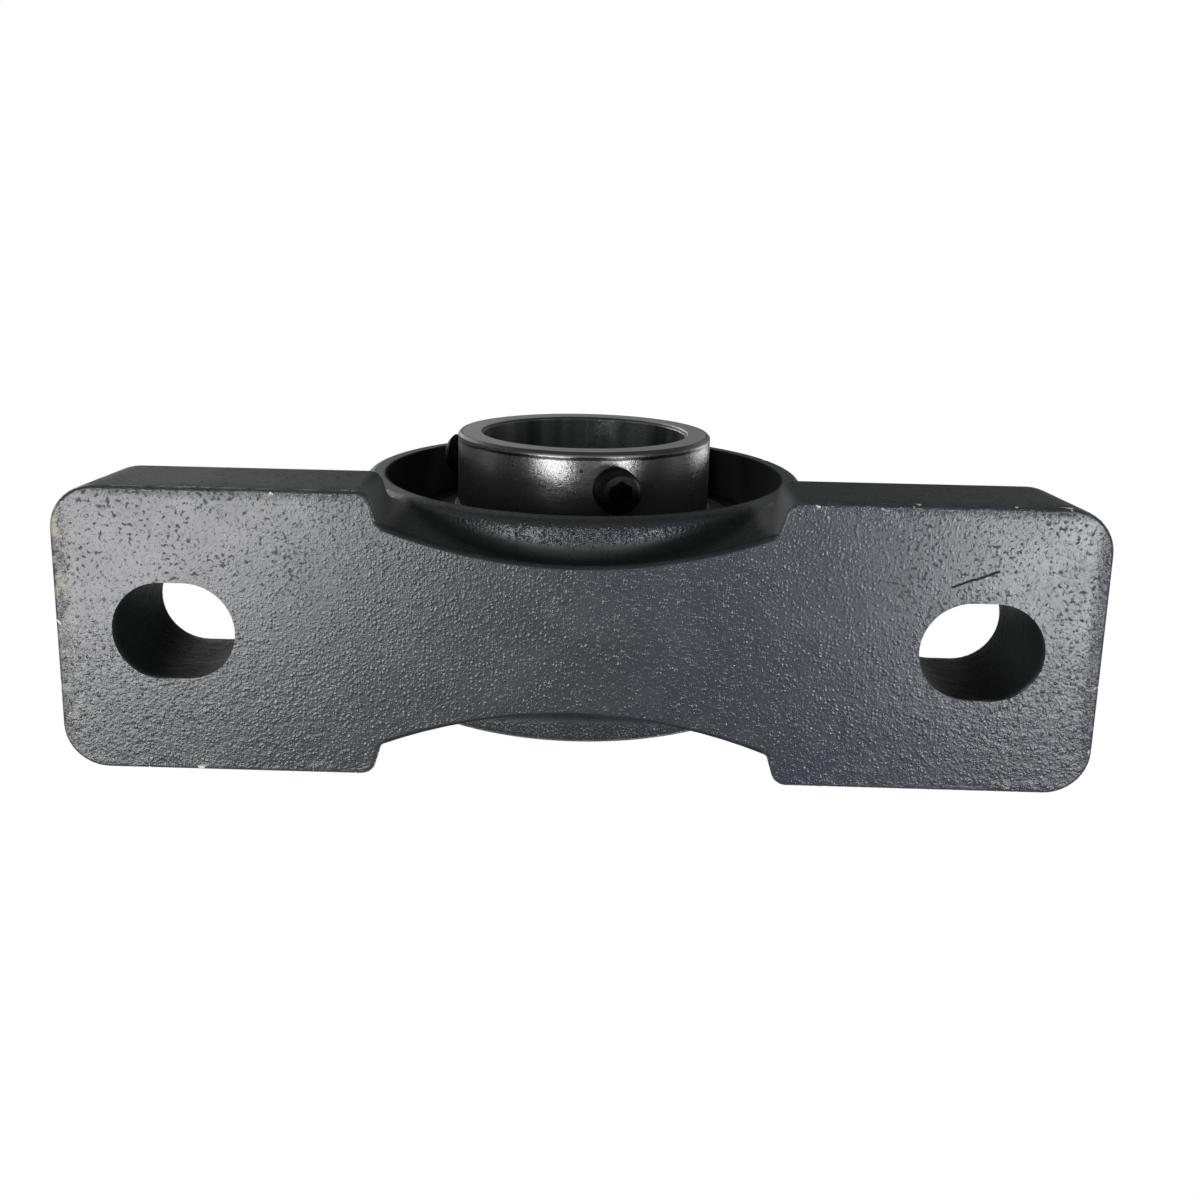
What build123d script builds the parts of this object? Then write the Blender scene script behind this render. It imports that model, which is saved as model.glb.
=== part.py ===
from build123d import *
import math
import os

# A two-bolt pillow block with a wide inner ring insert bearing. Millimetres, +Z up.
# X runs along the base, Y is the shaft axis and the set screws are on the -Y side.
# The origin is the centre of the base's underside, below the shaft axis.

# Housing casting
BASE_LENGTH = 206.0
BASE_WIDTH = 58.5
FOOT_HEIGHT = 22.0
FOOT_CORNER = 9.0
TOE_X = 40.5  # where a foot's long side ends, at the underside
TOE_ROUND = 3.0
ROOT_ROUND = 1.5
ROOT_X = 38.6  # where the foot's inner face meets the waist
ROOT_HALF_WIDTH = 22.9
INNER_FACE_LEAN = 2.5  # how far the foot's inner face moves outward over its height
WAIST_HALF_WIDTH = 15.5
WAIST_FILLET = 1.5
FOOT_TOP_ROUND = 2.0
UNDERSIDE_ROUND = 0.8
SLOT_SPACING = 159.0
SLOT_WIDTH = 20.0
SLOT_LENGTH = 24.5
SHAFT_HEIGHT = 57.2
RING_HALF_WIDTH = 23.5
RING_CROWN_RADIUS = 55.8
RING_RIM_RADIUS = 53.4
RING_RIM_ROUND = 2.2
RING_CROWN_ROUND = 12.0
MOUTH_RADIUS = 48.5
MOUTH_ROUND = 0.8
SHOULDER_RADIUS = 12.0
SHOULDER_HALF_WIDTH = 20.5
SHOULDER_END_ROUND = 2.5
SHOULDER_MIDDLE_X = 50.0
SHOULDER_SPAN = 38.0
SHOULDER_REACH = 20.0  # height of the blend above the foot's top

# Spherical seat in the housing
SEAT_CLEARANCE = 0.04
SEAT_EDGE_RADIUS = 43.0
SEAT_EDGE_Y = 12.5
SEAT_GROOVE_RADIUS = 46.2
SEAT_GROOVE_Y = (-1.0, 9.0)
NOTCH_RADIUS = 45.2
NOTCH_HALF_HEIGHT = 12.4

# Insert bearing rings
BORE_RADIUS = 25.0
BORE_CHAMFER = 0.8
INNER_RADIUS = 31.25
INNER_FRONT_Y = -33.2
INNER_REAR_Y = 18.4
INNER_CHAMFER = 0.6
SPHERE_RADIUS = 45.0
OUTER_HALF_WIDTH = 12.0
OUTER_SHOULDER_RADIUS = 38.4
PITCH_RADIUS = 35.0
BALL_RADIUS = 6.35
BALL_COUNT = 10
RACE_CLEARANCE = 0.02
RACE_GROOVE_RADIUS = 6.6
GREASE_Y = 7.7
GREASE_GROOVE_HALF = 1.2
GREASE_GROOVE_RADIUS = 43.7
GREASE_HOLE_RADIUS = 1.0
GREASE_HOLE_ANGLES = (60, 240)

# Seals, held in the outer ring, and flingers, held on the inner ring
SEAL_POCKET_RADIUS = 40.0
SEAL_BEAD_RADIUS = 41.0
SEAL_BEAD_Y = (9.7, 10.7)
SEAL_WEB_Y = (9.75, 10.5)
SEAL_CLEARANCE = 0.03
LIP_RADIUS = 31.31
LIP_ROOT_RADIUS = 33.0
LIP_END_Y = 11.4
CORE_OUTER_RADIUS = 39.9
CORE_END_Y = 11.2
FLINGER_RADIUS = 39.4
FLINGER_Y = (11.9, 12.7)
FLINGER_COLLAR_RADIUS = 32.1
FLINGER_COLLAR_END_Y = 15.2

# Cage: two pressed halves and their rivets
CAGE_INNER_RADIUS = 32.9
CAGE_OUTER_RADIUS = 37.1
CAGE_SHEET = 0.9
CAGE_POCKET_CLEARANCE = 0.1
RIVET_RADIUS = 0.9
RIVET_HEAD_RADIUS = 1.6
RIVET_HEAD_HEIGHT = 0.7

# Set screws: M10 fine thread, 5 mm hexagon socket, cup point
SCREW_RADIUS = 4.96
SCREW_HOLE_RADIUS = 5.02
SCREW_INNER_END = 26.2  # distances from the shaft axis
SCREW_OUTER_END = 36.2
SCREW_Y = -25.0
SCREW_ANGLES = (14.0, -106.0)  # from straight down, positive toward +X
THREAD_PITCH = 1.0
THREAD_DEPTH = 0.5
SOCKET_ACROSS_FLATS = 5.0
SOCKET_DEPTH = 5.0
CUP_RADIUS = 2.5
CUP_DEPTH = 1.2

# Grease nipple: M6 thread in the crown of the ring
NIPPLE_FACE_Z = 112.6
NIPPLE_FACE_RADIUS = 6.5
NIPPLE_THREAD_RADIUS = 3.0
NIPPLE_THREAD_LENGTH = 6.0
NIPPLE_HEX_ACROSS_FLATS = 9.0
NIPPLE_HEX_HEIGHT = 3.5
NIPPLE_NECK_RADIUS = 2.4
NIPPLE_HEAD_RADIUS = 3.25
NIPPLE_HEIGHT = 10.0
NIPPLE_BORE_RADIUS = 1.5
NIPPLE_BORE_FLOOR = 1.6  # heights above the face the nipple sits on
NIPPLE_SEAT_CENTRE = 7.55
NIPPLE_MOUTH_RADIUS = 0.85
CHECK_BALL_RADIUS = 1.25
CHECK_BALL_HEIGHT = 7.85
SPRING_RADIUS = 1.0
SPRING_WIRE_RADIUS = 0.2
SPRING_HEIGHT = 5.3
SPRING_TURNS = 6
SPRING_STEPS = 12  # straight pieces of wire in one turn
PASSAGE_RADIUS = 1.5

CENTRE = (0, 0, SHAFT_HEIGHT)
SHAFT = Axis(CENTRE, (0, 1, 0))
# Half section through the shaft: first coordinate along Y, second the radius.
SECTION = Plane(origin=CENTRE, x_dir=(0, 1, 0), z_dir=(1, 0, 0))


def turned(points, rounds=None):
    """Solid of revolution about the shaft, from (y, radius) corners and their rounding radii."""
    outline = FilletPolyline(*points, radius=rounds or [0.0] * len(points), close=True)
    return revolve(SECTION * make_face(outline), SHAFT, 360)


def tube(inner, outer, y_low, y_high):
    """Ring about the shaft with a rectangular section."""
    return turned([(y_low, inner), (y_low, outer), (y_high, outer), (y_high, inner)])


def ball_at_centre(radius):
    return Pos(*CENTRE) * Sphere(radius)


def from_bottom(shape, angle):
    """Carries a shape from straight below the shaft round toward +X by an angle in degrees."""
    return shape.rotate(SHAFT, -angle)


def mirrored(shape):
    """The same piece on the other side of the bearing's middle plane."""
    return mirror(shape, Plane.XZ)


# Housing

def waist_cutter(side):
    """What the waist leaves out on one side: a round hollow between two leaning inner faces."""
    sagitta = ROOT_HALF_WIDTH - WAIST_HALF_WIDTH
    radius = (ROOT_X**2 + sagitta**2) / (2 * sagitta)
    hollow = Pos(0, side * (WAIST_HALF_WIDTH + radius), FOOT_HEIGHT / 2) * Cylinder(radius, 3 * FOOT_HEIGHT)
    toe_slope = (TOE_X - ROOT_X) / (BASE_WIDTH / 2 - ROOT_HALF_WIDTH)
    corners = []
    for z in (-1, FOOT_HEIGHT + 1):
        for y in (0, BASE_WIDTH):
            reach = ROOT_X + toe_slope * (y - ROOT_HALF_WIDTH) + INNER_FACE_LEAN * z / FOOT_HEIGHT
            corners.append((reach, side * y, z))
            corners.append((-reach, side * y, z))
    return hollow & ConvexPolyhedron(corners)


def upright_edges(slab, half_width):
    """The slanting corner edges of the waist that lie near one distance from the middle."""
    found = []
    for edge in slab.edges():
        middle = edge @ 0.5
        beside_waist = ROOT_X < abs(middle.X) < TOE_X + INNER_FACE_LEAN + 1
        if beside_waist and abs(abs(middle.Y) - half_width) < 1.2 and edge.length > FOOT_HEIGHT - 1:
            found.append(edge)
    return found


def level_edges(slab, z):
    """The edges that lie flat at one height."""
    found = []
    for edge in slab.edges():
        if all(abs((edge @ share).Z - z) < 0.01 for share in (0.0, 0.5, 1.0)):
            found.append(edge)
    return found


def base():
    slab = extrude(RectangleRounded(BASE_LENGTH, BASE_WIDTH, FOOT_CORNER), FOOT_HEIGHT)
    slab = slab - waist_cutter(-1) - waist_cutter(1)
    slab = fillet(upright_edges(slab, BASE_WIDTH / 2), TOE_ROUND)
    slab = fillet(upright_edges(slab, ROOT_HALF_WIDTH), ROOT_ROUND)
    slab = fillet(level_edges(slab, 0), UNDERSIDE_ROUND)
    return fillet(level_edges(slab, FOOT_HEIGHT), FOOT_TOP_ROUND)


def bearing_ring():
    side = [
        (-RING_HALF_WIDTH, MOUTH_RADIUS),
        (-RING_HALF_WIDTH, RING_RIM_RADIUS),
        (0, RING_CROWN_RADIUS),
        (RING_HALF_WIDTH, RING_RIM_RADIUS),
        (RING_HALF_WIDTH, MOUTH_RADIUS),
        (SEAT_EDGE_Y, SEAT_EDGE_RADIUS),
        (-SEAT_EDGE_Y, SEAT_EDGE_RADIUS),
    ]
    rounds = [MOUTH_ROUND, RING_RIM_ROUND, RING_CROWN_ROUND, RING_RIM_ROUND, MOUTH_ROUND, 0.0, 0.0]
    return turned(side, rounds)


def on_ring_flank(edge):
    """True for an edge that lies on the ring's outside, between the base's two faces."""
    for share in (0.1, 0.5, 0.9):
        point = edge @ share
        radius = math.hypot(point.X, point.Z - SHAFT_HEIGHT)
        inside = 0.3 < point.Z < FOOT_HEIGHT - 0.05
        if not inside or not RING_RIM_RADIUS - 1 < radius < RING_CROWN_RADIUS + 0.3:
            return False
    return edge.geom_type == GeomType.BSPLINE


def shoulder(side):
    """Concave blend from the ring down to the top of a foot."""
    profile = Pos(0, SHAFT_HEIGHT) * Circle(RING_RIM_RADIUS - 0.2)
    profile += Pos(0, FOOT_HEIGHT / 2) * Rectangle(BASE_LENGTH - 60, FOOT_HEIGHT)
    inside_corners = [v for v in profile.vertices() if abs(v.Y - FOOT_HEIGHT) < 0.1 and abs(v.X) < 60]
    profile = fillet(inside_corners, SHOULDER_RADIUS)
    block = extrude(Plane.XZ * profile, SHOULDER_HALF_WIDTH, both=True)
    ends = [e for e in block.edges() if abs(abs((e @ 0.5).Y) - SHOULDER_HALF_WIDTH) < 0.01]
    block = fillet(ends, SHOULDER_END_ROUND)
    middle_z = FOOT_HEIGHT + SHOULDER_REACH / 2 - 0.5
    keep = Pos(side * SHOULDER_MIDDLE_X, 0, middle_z) * Box(SHOULDER_SPAN, BASE_WIDTH, SHOULDER_REACH + 1)
    inside_ring = tube(0, RING_RIM_RADIUS - 2, -BASE_WIDTH, BASE_WIDTH)
    return (block & keep) - inside_ring


def bolt_slot(side):
    slot = SlotOverall(SLOT_LENGTH, SLOT_WIDTH)
    return extrude(Pos(side * SLOT_SPACING / 2, 0, -1) * slot, FOOT_HEIGHT + 2)


def loading_notches():
    """Two slots in the rear half of the seat, where the insert goes in turned on its side."""
    disc = tube(0, NOTCH_RADIUS, 0, RING_HALF_WIDTH + 1)
    return disc & (Pos(*CENTRE) * Box(120, 60, 2 * NOTCH_HALF_HEIGHT))


def housing():
    body = base() - tube(0, RING_CROWN_RADIUS - 8, -40, 40)
    body = body + bearing_ring()
    body = fillet([e for e in body.edges() if on_ring_flank(e)], WAIST_FILLET)
    for side in (-1, 1):
        body = body + shoulder(side)
        body = body - bolt_slot(side)
    body = body - ball_at_centre(SPHERE_RADIUS + SEAT_CLEARANCE)
    body = body - tube(0, SEAT_GROOVE_RADIUS, *SEAT_GROOVE_Y)
    body = body - loading_notches()
    face = Pos(0, 0, NIPPLE_FACE_Z + 5) * Cylinder(NIPPLE_FACE_RADIUS, 10)
    thread = nipple_rod(NIPPLE_THREAD_RADIUS, -NIPPLE_THREAD_LENGTH, 0)
    passage = nipple_rod(PASSAGE_RADIUS, -15, 0)
    return body - face - thread - passage


# Insert bearing

def race_groove(bottom_radius, side):
    """Solid ring that cuts a ball groove: side is +1 for an inner ring, -1 for an outer ring."""
    middle = bottom_radius + side * RACE_GROOVE_RADIUS
    profile = SECTION * (Pos(0, middle) * Circle(RACE_GROOVE_RADIUS))
    return revolve(profile, SHAFT, 360)


def screw_rod(radius, near, far, angle):
    """Cylinder across the shaft between two distances from its axis."""
    rod = Pos(0, SCREW_Y, SHAFT_HEIGHT - (near + far) / 2) * Cylinder(radius, far - near)
    return from_bottom(rod, angle)


def inner_ring():
    profile = [
        (INNER_FRONT_Y, BORE_RADIUS + BORE_CHAMFER),
        (INNER_FRONT_Y, INNER_RADIUS - INNER_CHAMFER),
        (INNER_FRONT_Y + INNER_CHAMFER, INNER_RADIUS),
        (INNER_REAR_Y - INNER_CHAMFER, INNER_RADIUS),
        (INNER_REAR_Y, INNER_RADIUS - INNER_CHAMFER),
        (INNER_REAR_Y, BORE_RADIUS + BORE_CHAMFER),
        (INNER_REAR_Y - BORE_CHAMFER, BORE_RADIUS),
        (INNER_FRONT_Y + BORE_CHAMFER, BORE_RADIUS),
    ]
    ring = turned(profile) - race_groove(PITCH_RADIUS - BALL_RADIUS - RACE_CLEARANCE, 1)
    for angle in SCREW_ANGLES:
        ring = ring - screw_rod(SCREW_HOLE_RADIUS, BORE_RADIUS - 4, INNER_RADIUS + 4, angle)
    return ring


def outer_ring():
    bead_low, bead_high = SEAL_BEAD_Y
    edge_radius = math.sqrt(SPHERE_RADIUS**2 - OUTER_HALF_WIDTH**2)
    front = (-OUTER_HALF_WIDTH, edge_radius)
    rear = (OUTER_HALF_WIDTH, edge_radius)
    outside = ThreePointArc(front, (0, SPHERE_RADIUS), rear)
    rear_foot = (OUTER_HALF_WIDTH, OUTER_SHOULDER_RADIUS)
    front_foot = (-OUTER_HALF_WIDTH, OUTER_SHOULDER_RADIUS)
    inside = Polyline(rear, rear_foot, front_foot, front)
    ring = revolve(SECTION * make_face(outside + inside), SHAFT, 360)
    ring = ring - race_groove(PITCH_RADIUS + BALL_RADIUS + RACE_CLEARANCE, -1)
    for side in (-1, 1):
        pocket = sorted((side * bead_low, side * (OUTER_HALF_WIDTH + 1)))
        bead = sorted((side * bead_low, side * bead_high))
        ring = ring - tube(0, SEAL_POCKET_RADIUS, *pocket) - tube(0, SEAL_BEAD_RADIUS, *bead)
    groove = (GREASE_Y - GREASE_GROOVE_HALF, GREASE_Y + GREASE_GROOVE_HALF)
    ring = ring - tube(GREASE_GROOVE_RADIUS, 50, *groove)
    for angle in GREASE_HOLE_ANGLES:
        hole = Pos(0, GREASE_Y, SHAFT_HEIGHT - 41) * Cylinder(GREASE_HOLE_RADIUS, 10)
        ring = ring - from_bottom(hole, angle)
    return ring


def balls():
    pieces = {}
    for number in range(BALL_COUNT):
        ball = Pos(0, 0, SHAFT_HEIGHT - PITCH_RADIUS) * Sphere(BALL_RADIUS)
        pieces[f"ball_{number + 1:02d}"] = from_bottom(ball, number * 360 / BALL_COUNT)
    return pieces


def rivet_rod(radius, y_low, y_high, number):
    rod = Cylinder(radius, y_high - y_low, rotation=(90, 0, 0))
    rod = Pos(0, (y_low + y_high) / 2, SHAFT_HEIGHT - PITCH_RADIUS) * rod
    return from_bottom(rod, (number + 0.5) * 360 / BALL_COUNT)


def cage_rear():
    """Wavy ring: flat tabs joined by a half pocket behind each ball."""
    pocket = BALL_RADIUS + CAGE_POCKET_CLEARANCE
    half = tube(CAGE_INNER_RADIUS, CAGE_OUTER_RADIUS, 0, CAGE_SHEET)
    band = tube(CAGE_INNER_RADIUS, CAGE_OUTER_RADIUS, 0, pocket + CAGE_SHEET + 1)
    for number in range(BALL_COUNT):
        angle = number * 360 / BALL_COUNT
        centre = Pos(0, 0, SHAFT_HEIGHT - PITCH_RADIUS)
        half = half + (from_bottom(centre * Sphere(pocket + CAGE_SHEET), angle) & band)
    for number in range(BALL_COUNT):
        angle = number * 360 / BALL_COUNT
        centre = Pos(0, 0, SHAFT_HEIGHT - PITCH_RADIUS)
        half = half - from_bottom(centre * Sphere(pocket), angle)
        half = half - rivet_rod(RIVET_RADIUS, -1, CAGE_SHEET + 1, number)
    return half


def cage_rivets():
    rivets = []
    for number in range(BALL_COUNT):
        shank = rivet_rod(RIVET_RADIUS, -CAGE_SHEET, CAGE_SHEET, number)
        head = rivet_rod(RIVET_HEAD_RADIUS, CAGE_SHEET, CAGE_SHEET + RIVET_HEAD_HEIGHT, number)
        rivets.append(shank + head + mirrored(head))
    return Compound(children=[rivet.solid() for rivet in rivets])


def seal_rear():
    """Rubber ring: a bead clipped in the outer ring, a thin web and a lip on the inner ring."""
    bead_low, bead_high = SEAL_BEAD_Y
    web_low, web_high = SEAL_WEB_Y
    gap = SEAL_CLEARANCE
    profile = [
        (web_low, LIP_RADIUS + 0.5),
        (web_low, OUTER_SHOULDER_RADIUS),
        (bead_low + gap, OUTER_SHOULDER_RADIUS + 0.3),
        (bead_low + gap, SEAL_BEAD_RADIUS - gap),
        (bead_high - gap, SEAL_BEAD_RADIUS - gap),
        (bead_high - gap, CORE_OUTER_RADIUS),
        (web_high, CORE_OUTER_RADIUS),
        (web_high, LIP_ROOT_RADIUS),
        (LIP_END_Y, LIP_ROOT_RADIUS - 0.3),
        (LIP_END_Y, LIP_RADIUS),
        (LIP_END_Y - 0.6, LIP_RADIUS),
    ]
    return turned(profile)


def seal_core_rear():
    """Steel disc bonded to the outside of the rubber ring."""
    return tube(LIP_ROOT_RADIUS, CORE_OUTER_RADIUS, SEAL_WEB_Y[1], CORE_END_Y)


def flinger_rear():
    """Pressed washer outside the seal, with a collar that grips the inner ring."""
    low, high = FLINGER_Y
    profile = [
        (low, INNER_RADIUS),
        (low, FLINGER_RADIUS - 1.5),
        (low - 0.4, FLINGER_RADIUS),
        (high - 0.6, FLINGER_RADIUS),
        (high, FLINGER_RADIUS - 1.5),
        (high, FLINGER_COLLAR_RADIUS),
        (FLINGER_COLLAR_END_Y, FLINGER_COLLAR_RADIUS),
        (FLINGER_COLLAR_END_Y, INNER_RADIUS),
    ]
    return turned(profile, [0.0, 0.0, 0.0, 0.0, 0.5, 0.5, 0.3, 0.0])


def set_screw(angle):
    """Cup point set screw: thread crests as rings, hexagon socket in the outer end."""
    length = SCREW_OUTER_END - SCREW_INNER_END
    root = SCREW_RADIUS - THREAD_DEPTH
    points = [(0, CUP_DEPTH), (CUP_RADIUS, 0), (root - 0.6, 0), (root, 0.6)]
    turns = int((length - 1.6) / THREAD_PITCH)
    for turn in range(turns):
        start = 0.6 + turn * THREAD_PITCH
        points.append((SCREW_RADIUS, start + 0.4 * THREAD_PITCH))
        points.append((SCREW_RADIUS, start + 0.6 * THREAD_PITCH))
        points.append((root, start + THREAD_PITCH))
    points.append((root - 0.2, length))
    points.append((0, length))
    profile = make_face(Plane.XZ * Polyline(*points, close=True))
    screw = revolve(profile, Axis.Z, 360)
    socket = extrude(RegularPolygon(SOCKET_ACROSS_FLATS / 2, 6, major_radius=False), SOCKET_DEPTH + 1)
    screw = screw - Pos(0, 0, length - SOCKET_DEPTH) * socket
    # The screw is made pointing up from its tip, then hung below the shaft and carried round.
    screw = Pos(0, SCREW_Y, SHAFT_HEIGHT - SCREW_INNER_END) * (Rot(180, 0, 0) * screw)
    return from_bottom(screw, angle)


# Grease nipple

def nipple_rod(radius, low, high):
    """Cylinder on the nipple's axis between two heights above its face on the ring."""
    return Pos(0, 0, NIPPLE_FACE_Z + (low + high) / 2) * Cylinder(radius, high - low)


def grease_nipple():
    body = nipple_rod(NIPPLE_THREAD_RADIUS, -NIPPLE_THREAD_LENGTH, 0)
    hexagon = extrude(RegularPolygon(NIPPLE_HEX_ACROSS_FLATS / 2, 6, major_radius=False), NIPPLE_HEX_HEIGHT)
    body = body + Pos(0, 0, NIPPLE_FACE_Z) * hexagon
    head = [
        (0, 0),
        (NIPPLE_HEAD_RADIUS, 0),
        (NIPPLE_NECK_RADIUS, 1.2),
        (NIPPLE_NECK_RADIUS, 3.0),
        (NIPPLE_HEAD_RADIUS, 4.0),
        (NIPPLE_HEAD_RADIUS, 5.2),
        (1.6, 6.5),
        (0, 6.5),
    ]
    profile = make_face(Plane.XZ * Polyline(*head, close=True))
    body = body + Pos(0, 0, NIPPLE_FACE_Z + NIPPLE_HEX_HEIGHT) * revolve(profile, Axis.Z, 360)
    body = body - nipple_rod(NIPPLE_BORE_RADIUS, NIPPLE_BORE_FLOOR, NIPPLE_SEAT_CENTRE)
    body = body - nipple_rod(NIPPLE_MOUTH_RADIUS, -NIPPLE_THREAD_LENGTH - 1, NIPPLE_HEIGHT + 1)
    return body - Pos(0, 0, NIPPLE_FACE_Z + NIPPLE_SEAT_CENTRE) * Sphere(NIPPLE_BORE_RADIUS)


def nipple_check_ball():
    return Pos(0, 0, NIPPLE_FACE_Z + CHECK_BALL_HEIGHT) * Sphere(CHECK_BALL_RADIUS)


def nipple_spring():
    """Coil of round wire that stands on the floor of the wide bore, under the check ball."""
    steps = SPRING_TURNS * SPRING_STEPS
    low = NIPPLE_FACE_Z + NIPPLE_BORE_FLOOR + SPRING_WIRE_RADIUS
    rise = (SPRING_HEIGHT - 2 * SPRING_WIRE_RADIUS) / steps
    points = []
    for step in range(steps + 1):
        turn = 2 * math.pi * step / SPRING_STEPS
        points.append((SPRING_RADIUS * math.cos(turn), SPRING_RADIUS * math.sin(turn), low + rise * step))
    path = Polyline(*points)
    wire = Plane(origin=path @ 0, z_dir=path % 0) * Circle(SPRING_WIRE_RADIUS)
    return sweep(wire, path=path, transition=Transition.RIGHT)


if __name__ == "__main__":
    os.makedirs("parts", exist_ok=True)
    nodes = {
        "housing": housing(),
        "inner_ring": inner_ring(),
        "outer_ring": outer_ring(),
        "cage_rear": cage_rear(),
        "cage_rivets": cage_rivets(),
        "seal_rear": seal_rear(),
        "seal_core_rear": seal_core_rear(),
        "flinger_rear": flinger_rear(),
        "grease_nipple": grease_nipple(),
        "nipple_check_ball": nipple_check_ball(),
        "nipple_spring": nipple_spring(),
    }
    nodes["cage_front"] = mirrored(nodes["cage_rear"])
    nodes["seal_front"] = mirrored(nodes["seal_rear"])
    nodes["seal_core_front"] = mirrored(nodes["seal_core_rear"])
    nodes["flinger_front"] = mirrored(nodes["flinger_rear"])
    nodes.update(balls())
    for number, angle in enumerate(SCREW_ANGLES):
        nodes[f"set_screw_{number + 1}"] = set_screw(angle)
    for name, shape in nodes.items():
        export_step(shape, f"parts/{name}.step")
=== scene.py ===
import bpy
import bmesh
import math
from mathutils import Matrix, Vector


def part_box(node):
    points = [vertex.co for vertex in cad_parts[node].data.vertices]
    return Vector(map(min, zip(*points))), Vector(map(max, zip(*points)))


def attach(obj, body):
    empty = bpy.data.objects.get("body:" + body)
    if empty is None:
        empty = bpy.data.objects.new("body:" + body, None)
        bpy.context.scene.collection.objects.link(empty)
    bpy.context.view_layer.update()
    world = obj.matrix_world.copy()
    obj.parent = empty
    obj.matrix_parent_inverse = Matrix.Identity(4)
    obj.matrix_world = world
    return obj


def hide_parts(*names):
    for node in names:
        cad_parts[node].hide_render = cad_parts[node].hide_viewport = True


# Looks for a two-bolt pillow block with a wide inner ring insert bearing.
# Metres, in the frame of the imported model: X along the base, Y along the shaft, Z up.

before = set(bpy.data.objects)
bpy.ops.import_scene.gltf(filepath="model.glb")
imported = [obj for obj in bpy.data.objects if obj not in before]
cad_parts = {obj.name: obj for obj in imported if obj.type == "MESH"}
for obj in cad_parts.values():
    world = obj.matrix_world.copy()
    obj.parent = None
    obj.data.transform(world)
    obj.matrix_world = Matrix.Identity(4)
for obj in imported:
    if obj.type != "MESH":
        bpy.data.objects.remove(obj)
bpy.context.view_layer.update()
scene = bpy.context.scene

MM = 0.001

# Housing
FOOT_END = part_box("housing")[1].x
FOOT_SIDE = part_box("housing")[1].y
FOOT_TOP = 22.0 * MM
CORNER_X = 39.5 * MM  # where the feet's inner faces meet the waist
WAIST_HALF_WIDTH = 15.5 * MM  # at the middle of the base
WAIST_FLARE = 4.79  # what the waist gains on each side, per metre from the middle squared
BARREL_HALF_WIDTH = 23.5 * MM  # the housing's round part, round the bearing
BARREL_RIM_RADIUS = 53.4 * MM
BARREL_CROWN_RADIUS = 55.8 * MM
MOUTH_RADIUS = 48.5 * MM
SHAFT_Z = 57.2 * MM
SLOT_X = 79.5 * MM
SLOT_RADIUS = 10.0 * MM
SLOT_HALF_RUN = 2.25 * MM  # from the slot's middle to the centre of its round end

# Scratch beside the right slot: its direction, and its middle along and across that direction
SCRATCH_RUN_X = 0.93
SCRATCH_RUN_Y = -0.37
SCRATCH_ALONG = 77.1 * MM
SCRATCH_ACROSS = 14.6 * MM

# Inner ring
RING_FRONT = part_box("inner_ring")[0].y
RING_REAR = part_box("inner_ring")[1].y
RING_RADIUS = 31.25 * MM
BORE_RADIUS = 25.0 * MM
BURR_Y = RING_FRONT + 2.0 * MM

# Set screws: M10 fine thread, 5 mm hexagon socket, cup point
SCREW_CREST = 4.96 * MM
SCREW_ROOT = 4.46 * MM
SCREW_PITCH = 1.0 * MM
SCREW_LENGTH = 10.0 * MM
SCREW_TIP = 26.2 * MM  # distance of the screw's tip from the shaft's axis
SCREW_Y = -25.0 * MM
SCREW_ANGLES = {1: 14.0, 2: -106.0}  # degrees from straight down, positive toward +X
SCREW_TURNS = 11
SCREW_STEPS = 48  # faces round one turn of thread
THREAD_START = 0.7  # turns of thread below the screw's tip, cut off later
THREAD_PROFILE = ((SCREW_ROOT, 0.0), (SCREW_CREST, 0.38), (SCREW_CREST, 0.52), (SCREW_ROOT, 0.9))
SOCKET_RADIUS = 2.887 * MM
SOCKET_DEPTH = 5.0 * MM
CUP_RADIUS = 2.5 * MM
CUP_DEPTH = 1.2 * MM
CUP_FLOOR = 0.1  # width of the cup's floor, as a share of its rim
END_TAPER = 0.5 * MM


# Shader building

# The Mix node has sockets of the same name for numbers, vectors and colours: these are the colours' places.
MIX_COLOUR_A = 6
MIX_COLOUR_B = 7
MIX_COLOUR_RESULT = 2


def new_material(name):
    """A material with only a Principled shader and an output: returns the material and the shader."""
    material = bpy.data.materials.new(name)
    material.use_nodes = True
    material.node_tree.nodes.clear()
    output = material.node_tree.nodes.new("ShaderNodeOutputMaterial")
    shader = material.node_tree.nodes.new("ShaderNodeBsdfPrincipled")
    material.node_tree.links.new(shader.outputs["BSDF"], output.inputs["Surface"])
    return material, shader


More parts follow.
